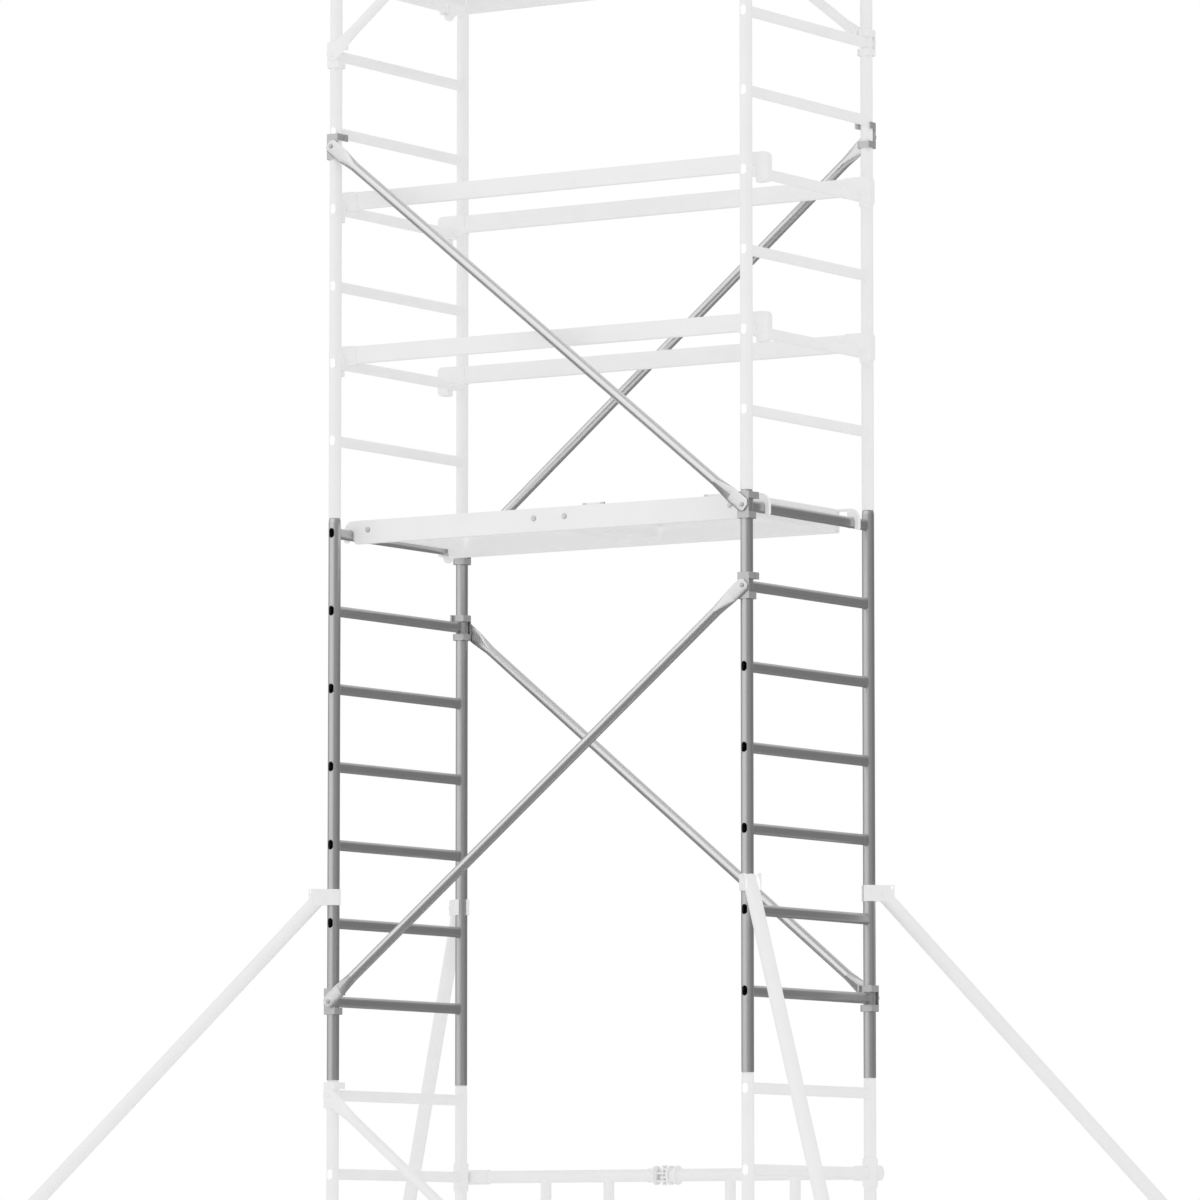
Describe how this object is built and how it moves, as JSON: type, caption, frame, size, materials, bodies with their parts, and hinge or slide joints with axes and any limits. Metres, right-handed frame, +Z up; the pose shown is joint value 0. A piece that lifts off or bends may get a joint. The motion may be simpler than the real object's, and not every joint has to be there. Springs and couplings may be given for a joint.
{
  "type": "mobile tower scaffold",
  "caption": "Tall aluminium access tower of stacked ladder frames on braked castors, with diagonal braces, trapdoor platforms, guard rails, a folding base gate and swinging stabilisers.",
  "frame": {"origin": "on the ground, midway between the four posts", "axes": "+X along the bay (left to right), +Y across the bay from front to rear, +Z up"},
  "size_m": [5.7692, 4.8398, 7.576],
  "materials": {
    "satin_aluminium": "satin, drawn along the tube",
    "pale_aluminium": "very pale satin",
    "coupler_steel": "satin zinc grey",
    "deck_board": "pale coated plywood with a fine grip pattern",
    "castor_steel": "bright zinc plate",
    "tyre": "pale grey rubber, satin",
    "pedal": "pale grey moulded plastic"
  },
  "bodies": {
    "tower": {"base_frame_left": "pale_aluminium", "base_frame_right": "pale_aluminium", "brace_base_front": "pale_aluminium", "brace_couplers": "coupler_steel", "brace_lower_front": "satin_aluminium", "brace_lower_rear": "satin_aluminium", "brace_middle_front": "satin_aluminium", "brace_middle_rear": "satin_aluminium", "brace_rivets": "coupler_steel", "brace_upper_front": "pale_aluminium", "brace_upper_rear": "pale_aluminium", "castor_stems": "castor_steel", "deck_end_profiles": "pale_aluminium", "gate_brackets": "pale_aluminium", "gate_centre_hinge": "pale_aluminium", "gate_leaf_left": "pale_aluminium", "gate_leaf_right": "pale_aluminium", "guard_frame_left": "pale_aluminium", "guard_frame_right": "pale_aluminium", "guard_rails_lower_front": "pale_aluminium", "guard_rails_lower_rear": "pale_aluminium", "guard_rails_upper_front": "pale_aluminium", "guard_rails_upper_rear": "pale_aluminium", "hatch_hinges": "pale_aluminium", "middle_frame_left": "satin_aluminium", "middle_frame_right": "satin_aluminium", "platform_deck_lower": "deck_board", "platform_deck_upper": "deck_board", "platform_fasteners": "pale_aluminium", "platform_frame_lower": "pale_aluminium", "platform_frame_upper": "pale_aluminium", "platform_hooks": "pale_aluminium", "rail_claws": "pale_aluminium", "upper_frame_left": "pale_aluminium", "upper_frame_right": "pale_aluminium"},
    "stabiliser_front_left": {"stabiliser_arm_front_left": "pale_aluminium"},
    "stabiliser_foot_front_left": {"stabiliser_leg_front_left": "pale_aluminium"},
    "castor_front_left": {"castor_fork_front_left": "castor_steel"},
    "wheel_front_left": {"castor_wheel_front_left": "tyre"},
    "brake_front_left": {"castor_brake_front_left": "pedal"},
    "stabiliser_rear_left": {"stabiliser_arm_rear_left": "pale_aluminium"},
    "stabiliser_foot_rear_left": {"stabiliser_leg_rear_left": "pale_aluminium"},
    "castor_rear_left": {"castor_fork_rear_left": "castor_steel"},
    "wheel_rear_left": {"castor_wheel_rear_left": "tyre"},
    "brake_rear_left": {"castor_brake_rear_left": "pedal"},
    "stabiliser_front_right": {"stabiliser_arm_front_right": "pale_aluminium"},
    "stabiliser_foot_front_right": {"stabiliser_leg_front_right": "pale_aluminium"},
    "castor_front_right": {"castor_fork_front_right": "castor_steel"},
    "wheel_front_right": {"castor_wheel_front_right": "tyre"},
    "brake_front_right": {"castor_brake_front_right": "pedal"},
    "stabiliser_rear_right": {"stabiliser_arm_rear_right": "pale_aluminium"},
    "stabiliser_foot_rear_right": {"stabiliser_leg_rear_right": "pale_aluminium"},
    "castor_rear_right": {"castor_fork_rear_right": "castor_steel"},
    "wheel_rear_right": {"castor_wheel_rear_right": "tyre"},
    "brake_rear_right": {"castor_brake_rear_right": "pedal"},
    "hatch_lower": {"hatch_lower": "deck_board"},
    "wind_lock_lower": {"wind_lock_lower": "pale_aluminium"},
    "hatch_upper": {"hatch_upper": "deck_board"},
    "wind_lock_upper": {"wind_lock_upper": "pale_aluminium"}
  },
  "joints": [
    {"name": "stabiliser_swing_front_left", "type": "hinge", "parent": "tower", "child": "stabiliser_front_left", "pos_m": [-0.8715, -0.407, 2.966], "axis": [0, 0, 1], "range_deg": [-45, 45]},
    {"name": "stabiliser_slide_front_left", "type": "slide", "parent": "stabiliser_front_left", "child": "stabiliser_foot_front_left", "axis": [-0.4824, -0.4824, -0.7312], "range_m": [-0.5, 0.25]},
    {"name": "castor_swivel_front_left", "type": "hinge", "parent": "tower", "child": "castor_front_left", "pos_m": [-0.8715, -0.407, 0.26], "axis": [0, 0, 1], "continuous": true},
    {"name": "wheel_roll_front_left", "type": "hinge", "parent": "castor_front_left", "child": "wheel_front_left", "pos_m": [-0.8265, -0.407, 0.1], "axis": [0, 1, 0], "continuous": true},
    {"name": "brake_pedal_front_left", "type": "hinge", "parent": "castor_front_left", "child": "brake_front_left", "pos_m": [-0.7835, -0.407, 0.207], "axis": [0, 1, 0], "range_deg": [0, 12], "stiffness_Nm_per_rad": 40},
    {"name": "stabiliser_swing_rear_left", "type": "hinge", "parent": "tower", "child": "stabiliser_rear_left", "pos_m": [-0.8715, 0.407, 2.966], "axis": [0, 0, 1], "range_deg": [-45, 45]},
    {"name": "stabiliser_slide_rear_left", "type": "slide", "parent": "stabiliser_rear_left", "child": "stabiliser_foot_rear_left", "axis": [-0.4824, 0.4824, -0.7312], "range_m": [-0.5, 0.25]},
    {"name": "castor_swivel_rear_left", "type": "hinge", "parent": "tower", "child": "castor_rear_left", "pos_m": [-0.8715, 0.407, 0.26], "axis": [0, 0, 1], "continuous": true},
    {"name": "wheel_roll_rear_left", "type": "hinge", "parent": "castor_rear_left", "child": "wheel_rear_left", "pos_m": [-0.8265, 0.407, 0.1], "axis": [0, 1, 0], "continuous": true},
    {"name": "brake_pedal_rear_left", "type": "hinge", "parent": "castor_rear_left", "child": "brake_rear_left", "pos_m": [-0.7835, 0.407, 0.207], "axis": [0, 1, 0], "range_deg": [0, 12], "stiffness_Nm_per_rad": 40},
    {"name": "stabiliser_swing_front_right", "type": "hinge", "parent": "tower", "child": "stabiliser_front_right", "pos_m": [0.8715, -0.407, 2.966], "axis": [0, 0, 1], "range_deg": [-45, 45]},
    {"name": "stabiliser_slide_front_right", "type": "slide", "parent": "stabiliser_front_right", "child": "stabiliser_foot_front_right", "axis": [0.4824, -0.4824, -0.7312], "range_m": [-0.5, 0.25]},
    {"name": "castor_swivel_front_right", "type": "hinge", "parent": "tower", "child": "castor_front_right", "pos_m": [0.8715, -0.407, 0.26], "axis": [0, 0, 1], "continuous": true},
    {"name": "wheel_roll_front_right", "type": "hinge", "parent": "castor_front_right", "child": "wheel_front_right", "pos_m": [0.9165, -0.407, 0.1], "axis": [0, 1, 0], "continuous": true},
    {"name": "brake_pedal_front_right", "type": "hinge", "parent": "castor_front_right", "child": "brake_front_right", "pos_m": [0.9595, -0.407, 0.207], "axis": [0, 1, 0], "range_deg": [0, 12], "stiffness_Nm_per_rad": 40},
    {"name": "stabiliser_swing_rear_right", "type": "hinge", "parent": "tower", "child": "stabiliser_rear_right", "pos_m": [0.8715, 0.407, 2.966], "axis": [0, 0, 1], "range_deg": [-45, 45]},
    {"name": "stabiliser_slide_rear_right", "type": "slide", "parent": "stabiliser_rear_right", "child": "stabiliser_foot_rear_right", "axis": [0.4824, 0.4824, -0.7312], "range_m": [-0.5, 0.25]},
    {"name": "castor_swivel_rear_right", "type": "hinge", "parent": "tower", "child": "castor_rear_right", "pos_m": [0.8715, 0.407, 0.26], "axis": [0, 0, 1], "continuous": true},
    {"name": "wheel_roll_rear_right", "type": "hinge", "parent": "castor_rear_right", "child": "wheel_rear_right", "pos_m": [0.9165, 0.407, 0.1], "axis": [0, 1, 0], "continuous": true},
    {"name": "brake_pedal_rear_right", "type": "hinge", "parent": "castor_rear_right", "child": "brake_rear_right", "pos_m": [0.9595, 0.407, 0.207], "axis": [0, 1, 0], "range_deg": [0, 12], "stiffness_Nm_per_rad": 40},
    {"name": "hatch_hinge_lower", "type": "hinge", "parent": "tower", "child": "hatch_lower", "pos_m": [0.4, -0.264, 4.3325], "axis": [1, 0, 0], "range_deg": [0, 90]},
    {"name": "wind_lock_turn_lower", "type": "hinge", "parent": "tower", "child": "wind_lock_lower", "pos_m": [-0.8315, 0.3185, 4.264], "axis": [0, -1, 0], "range_deg": [0, 85], "stiffness_Nm_per_rad": 5},
    {"name": "hatch_hinge_upper", "type": "hinge", "parent": "tower", "child": "hatch_upper", "pos_m": [0.4, -0.264, 6.3465], "axis": [1, 0, 0], "range_deg": [0, 90]},
    {"name": "wind_lock_turn_upper", "type": "hinge", "parent": "tower", "child": "wind_lock_upper", "pos_m": [-0.8315, 0.3185, 6.278], "axis": [0, -1, 0], "range_deg": [0, 85], "stiffness_Nm_per_rad": 5}
  ]
}
